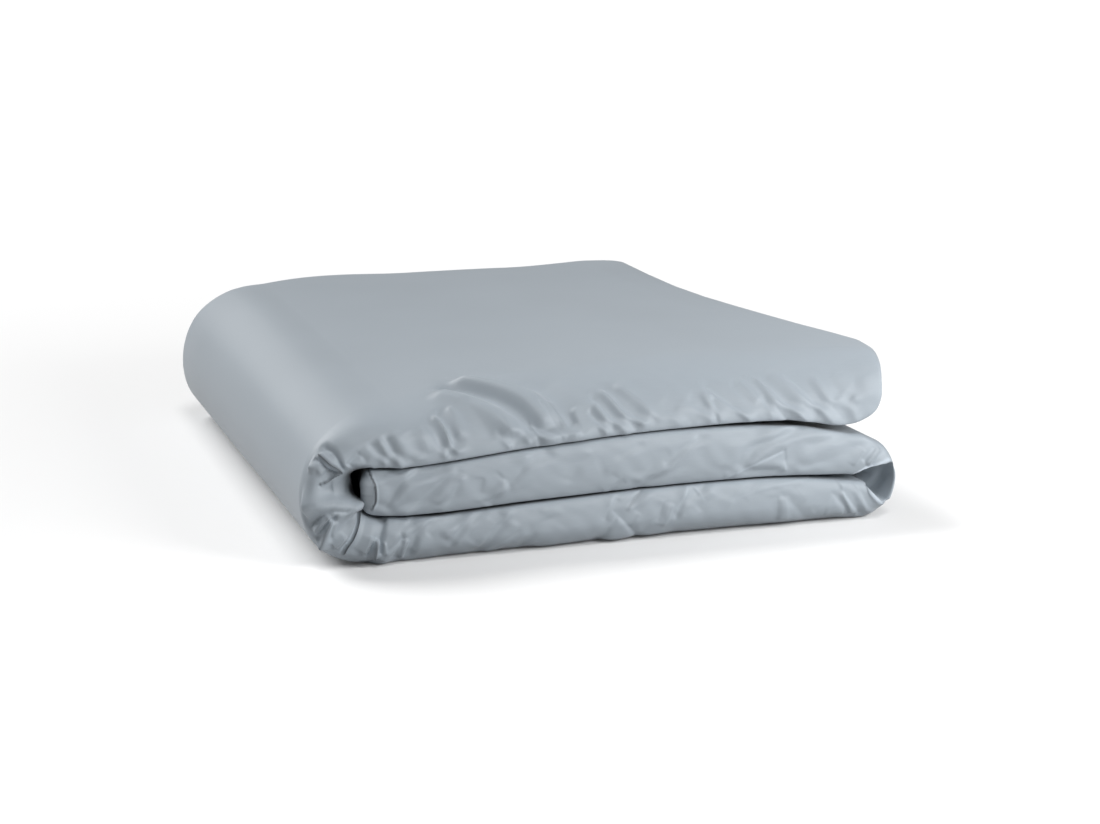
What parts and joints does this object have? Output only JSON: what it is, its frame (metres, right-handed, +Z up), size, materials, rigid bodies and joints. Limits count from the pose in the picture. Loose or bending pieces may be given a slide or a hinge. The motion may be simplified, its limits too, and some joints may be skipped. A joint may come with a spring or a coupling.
{
  "type": "folded duvet cover",
  "caption": "Filled duvet cover in plain grey-blue sateen, folded to and fro into a low stack of puffy layers with an open, softly creased front edge.",
  "frame": {"origin": "centre of the bounding box's underside, on the surface the duvet lies on", "axes": "+Z up, +X to the right when looking at the open layered edge, which faces -Y; the big bend is at -X"},
  "size_m": [0.6522, 0.7406, 0.1804],
  "materials": {
    "sateen": "smooth cotton sateen, plain-dyed pale grey-blue, with a soft sheen"
  },
  "bodies": {
    "root": {"duvet_cover": "sateen"}
  },
  "joints": []
}
